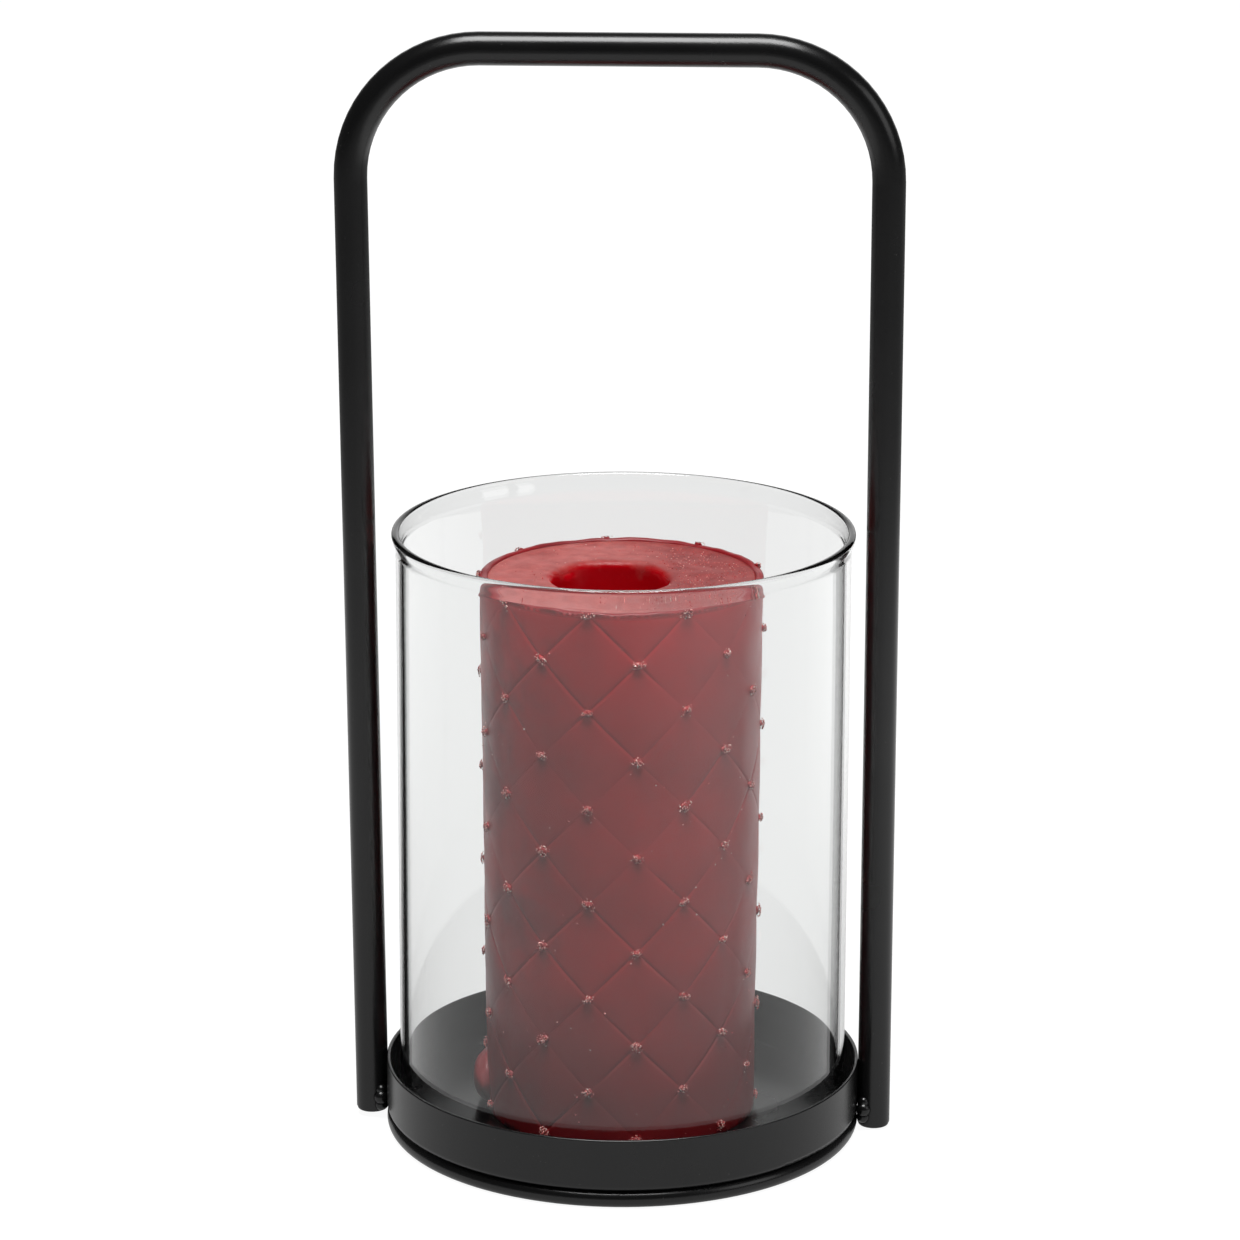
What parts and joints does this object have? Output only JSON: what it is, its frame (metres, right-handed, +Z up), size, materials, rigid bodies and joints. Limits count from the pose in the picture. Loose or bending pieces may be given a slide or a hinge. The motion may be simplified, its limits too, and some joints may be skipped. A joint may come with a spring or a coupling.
{
  "type": "candle lantern",
  "caption": "Table lantern with a round tray on a foot ring, a tall bent tube handle, an open glass cylinder and a quilted pillar candle.",
  "frame": {"origin": "on the table, at the centre under the tray and its foot ring", "axes": "+Z up; the handle spans X, with a leg at each side; -Y is the front"},
  "size_m": [0.1391, 0.12, 0.2799],
  "materials": {
    "powder_coat": "satin black powder coat on steel",
    "clear_glass": "clear, fire-polished rim",
    "core_wax": "dusty rose wax with fine glitter",
    "shell_wax": "deep red satin wax",
    "glitter": "rose gold glitter",
    "wick_cotton": "charred cotton cord",
    "tinned_steel": "tinned"
  },
  "bodies": {
    "frame": {"tray_pan": "powder_coat", "foot_ring": "powder_coat", "ring_tack_welds": "powder_coat", "handle_tube": "powder_coat", "tube_plug_left": "powder_coat", "tube_plug_right": "powder_coat", "weld_left": "powder_coat", "weld_right": "powder_coat"},
    "glass": {"glass_cylinder": "clear_glass"},
    "candle": {"candle_core": "core_wax", "candle_shell": "shell_wax", "candle_studs": "glitter", "wax_lump": "shell_wax", "wick": "wick_cotton", "wick_sustainer": "tinned_steel"}
  },
  "joints": [
    {"name": "glass_lift", "type": "slide", "parent": "frame", "child": "glass", "axis": [0, 0, 1], "range_m": [0, 0.1]},
    {"name": "candle_lift", "type": "slide", "parent": "frame", "child": "candle", "axis": [0, 0, 1], "range_m": [0, 0.125]}
  ]
}
